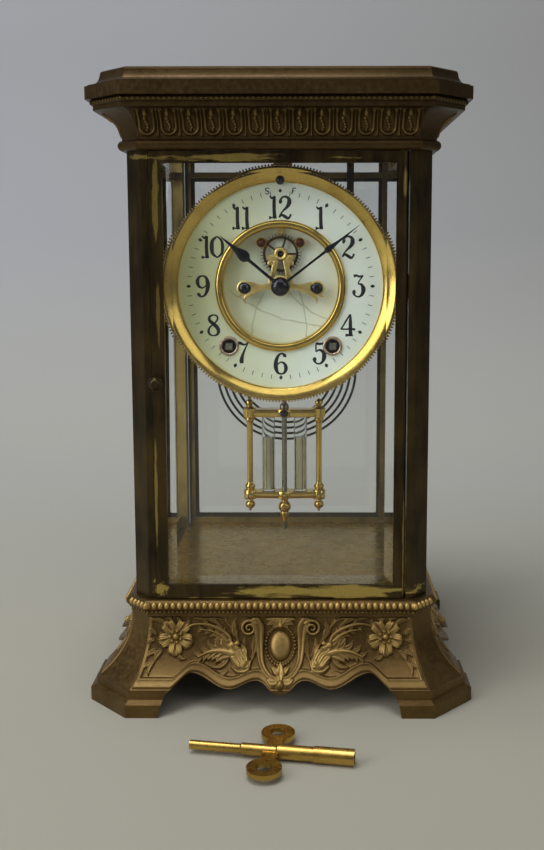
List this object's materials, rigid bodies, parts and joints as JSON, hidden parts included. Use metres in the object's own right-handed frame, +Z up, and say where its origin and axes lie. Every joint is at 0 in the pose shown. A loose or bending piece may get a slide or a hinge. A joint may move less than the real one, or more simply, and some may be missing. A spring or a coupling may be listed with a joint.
{
  "type": "crystal regulator clock",
  "caption": "Four-glass brass mantel clock on a cast scalloped base, with an enamel dial, visible escapement, twin-vial mercury pendulum, gong strike, hinged doors and a loose winding key.",
  "frame": {"origin": "middle of the base on the surface that the clock stands on", "axes": "+X to the right as the dial is read, +Y to the back, +Z up"},
  "size_m": [0.1924, 0.2473, 0.31],
  "materials": {
    "bronze": "aged brown bronze-gilt casting",
    "dark_brass": "dark tarnished brass with bright rubbed streaks",
    "brass": "plain brass",
    "gilt": "polished brass",
    "steel": "brushed steel",
    "blued_steel": "blued steel",
    "enamel": "cream vitreous enamel on copper",
    "glass": "clear bevelled plate glass",
    "mercury": "bright liquid metal",
    "ruby": "polished red stone"
  },
  "bodies": {
    "case": {"base_casting": "bronze", "floor_plate": "gilt", "corner_posts": "dark_brass", "side_rails": "dark_brass", "side_glass": "glass", "cornice_casting": "bronze", "top_cap": "bronze", "case_screws": "steel", "hinge_pins": "brass", "movement_brackets": "brass", "front_plate": "brass", "back_plate": "brass", "dial_pan": "brass", "chapter_ring": "enamel", "bezel": "gilt", "inner_ring": "gilt", "centre_disc": "enamel", "winding_grommets": "brass", "escape_bridge": "gilt", "bridge_screws": "blued_steel", "suspension_cock": "brass", "gong_post": "dark_brass", "gong_coil": "blued_steel"},
    "front_door": {"front_door_frame": "dark_brass", "front_glass": "glass"},
    "front_latch": {"front_latch": "dark_brass"},
    "rear_door": {"rear_door_frame": "dark_brass", "rear_glass": "glass"},
    "rear_latch": {"rear_latch": "dark_brass"},
    "minute": {"minute_hand": "blued_steel", "hand_nut": "blued_steel", "cannon_pinion": "steel"},
    "minute_wheel": {"minute_wheel": "brass"},
    "hour": {"hour_wheel": "brass", "hour_hand": "blued_steel"},
    "centre": {"centre_wheel": "brass"},
    "intermediate": {"intermediate_wheel": "brass"},
    "time_barrel": {"time_barrel": "brass"},
    "strike_barrel": {"strike_barrel": "brass"},
    "time_winding": {"time_winding_arbor": "steel"},
    "strike_winding": {"strike_winding_arbor": "steel"},
    "time_click": {"time_click": "steel"},
    "strike_click": {"strike_click": "steel"},
    "third": {"third_wheel": "brass"},
    "escape": {"escape_wheel": "brass"},
    "anchor": {"anchor": "steel", "pallet_stones": "ruby", "crutch": "steel"},
    "regulator": {"regulator_arbor": "blued_steel"},
    "pin_wheel": {"pin_wheel": "brass"},
    "warning": {"warning_wheel": "brass"},
    "fly": {"strike_fly": "brass"},
    "hammer": {"hammer": "steel"},
    "pendulum": {"suspension_spring": "steel", "pendulum_rod": "steel", "bob_frame": "gilt", "mercury_vials": "glass", "mercury": "mercury"},
    "rating_nut": {"rating_nut": "gilt"},
    "key": {"winding_key": "brass"}
  },
  "joints": [
    {"name": "front_door_swing", "type": "hinge", "parent": "case", "child": "front_door", "pos_m": [0.0591, -0.068, 0.16], "axis": [0, 0, 1], "range_deg": [0, 95]},
    {"name": "front_latch_turn", "type": "hinge", "parent": "front_door", "child": "front_latch", "pos_m": [-0.0601, -0.068, 0.162], "axis": [0, -1, 0], "range_deg": [0, 90]},
    {"name": "rear_door_swing", "type": "hinge", "parent": "case", "child": "rear_door", "pos_m": [-0.0591, 0.068, 0.16], "axis": [0, 0, 1], "range_deg": [0, 95]},
    {"name": "rear_latch_turn", "type": "hinge", "parent": "rear_door", "child": "rear_latch", "pos_m": [0.0601, 0.068, 0.162], "axis": [0, 1, 0], "range_deg": [0, 90]},
    {"name": "hands_set", "type": "hinge", "parent": "case", "child": "minute", "pos_m": [0, -0.05, 0.208], "axis": [0, 1, 0], "continuous": true},
    {"name": "minute_wheel_turn", "type": "hinge", "parent": "case", "child": "minute_wheel", "pos_m": [0, -0.04, 0.196], "axis": [0, 1, 0], "continuous": true},
    {"name": "hour_turn", "type": "hinge", "parent": "case", "child": "hour", "pos_m": [0, -0.05, 0.208], "axis": [0, 1, 0], "continuous": true},
    {"name": "escape_turn", "type": "hinge", "parent": "case", "child": "escape", "pos_m": [0, -0.045, 0.224], "axis": [0, 1, 0], "continuous": true},
    {"name": "third_turn", "type": "hinge", "parent": "case", "child": "third", "pos_m": [-0.0153, -0.034, 0.21945], "axis": [0, 1, 0], "continuous": true},
    {"name": "centre_turn", "type": "hinge", "parent": "case", "child": "centre", "pos_m": [0, -0.024, 0.208], "axis": [0, 1, 0], "continuous": true},
    {"name": "intermediate_turn", "type": "hinge", "parent": "case", "child": "intermediate", "pos_m": [0.01515, -0.012, 0.19524], "axis": [0, 1, 0], "continuous": true},
    {"name": "time_barrel_turn", "type": "hinge", "parent": "case", "child": "time_barrel", "pos_m": [0.026, -0.03, 0.178], "axis": [0, 1, 0], "continuous": true},
    {"name": "fly_turn", "type": "hinge", "parent": "case", "child": "fly", "pos_m": [-0.03377, -0.025, 0.22296], "axis": [0, 1, 0], "continuous": true},
    {"name": "warning_turn", "type": "hinge", "parent": "case", "child": "warning", "pos_m": [-0.0318, -0.027, 0.2118], "axis": [0, 1, 0], "continuous": true},
    {"name": "pin_wheel_turn", "type": "hinge", "parent": "case", "child": "pin_wheel", "pos_m": [-0.03058, -0.012, 0.19785], "axis": [0, 1, 0], "continuous": true},
    {"name": "strike_barrel_turn", "type": "hinge", "parent": "case", "child": "strike_barrel", "pos_m": [-0.026, -0.03, 0.178], "axis": [0, 1, 0], "continuous": true},
    {"name": "time_winding_turn", "type": "hinge", "parent": "case", "child": "time_winding", "pos_m": [0.026, -0.04, 0.178], "axis": [0, 1, 0], "continuous": true},
    {"name": "strike_winding_turn", "type": "hinge", "parent": "case", "child": "strike_winding", "pos_m": [-0.026, -0.04, 0.178], "axis": [0, 1, 0], "continuous": true},
    {"name": "time_click_rock", "type": "hinge", "parent": "case", "child": "time_click", "pos_m": [0.032, -0.04, 0.1876], "axis": [0, -1, 0], "range_deg": [0, 12], "stiffness_Nm_per_rad": 0.002, "springref_deg": -5.73},
    {"name": "strike_click_rock", "type": "hinge", "parent": "case", "child": "strike_click", "pos_m": [-0.032, -0.04, 0.1876], "axis": [0, 1, 0], "range_deg": [0, 12], "stiffness_Nm_per_rad": 0.002, "springref_deg": -5.73},
    {"name": "pendulum_swing", "type": "hinge", "parent": "case", "child": "pendulum", "pos_m": [0, 0.004, 0.2461], "axis": [0, 1, 0], "range_deg": [-2, 2]},
    {"name": "anchor_rock", "type": "hinge", "parent": "case", "child": "anchor", "pos_m": [0, -0.04, 0.2461], "axis": [0, 1, 0], "range_deg": [-2, 2]},
    {"name": "regulator_turn", "type": "hinge", "parent": "case", "child": "regulator", "pos_m": [0, -0.03, 0.2613], "axis": [0, 1, 0], "continuous": true},
    {"name": "hammer_lift", "type": "hinge", "parent": "case", "child": "hammer", "pos_m": [-0.0422, 0.01, 0.1898], "axis": [0, -1, 0], "range_deg": [0, 14]},
    {"name": "rating_nut_turn", "type": "hinge", "parent": "pendulum", "child": "rating_nut", "pos_m": [0, 0.004, 0.08], "axis": [0, 0, 1], "continuous": true},
    {"name": "key_lift", "type": "slide", "parent": "case", "child": "key", "axis": [0, 0, 1], "range_m": [0, 0.06]}
  ],
  "couplings": [
    {"joint": "minute_wheel_turn", "follows": "hands_set", "ratio": -0.33333},
    {"joint": "hour_turn", "follows": "hands_set", "ratio": 0.083333},
    {"joint": "third_turn", "follows": "escape_turn", "ratio": -0.090909},
    {"joint": "centre_turn", "follows": "escape_turn", "ratio": 0.0075758},
    {"joint": "intermediate_turn", "follows": "escape_turn", "ratio": -0.0011478},
    {"joint": "time_barrel_turn", "follows": "escape_turn", "ratio": 0.00010932},
    {"joint": "warning_turn", "follows": "fly_turn", "ratio": -0.125},
    {"joint": "pin_wheel_turn", "follows": "fly_turn", "ratio": 0.013889},
    {"joint": "strike_barrel_turn", "follows": "fly_turn", "ratio": -0.0013228},
    {"joint": "anchor_rock", "follows": "pendulum_swing", "ratio": 1}
  ]
}
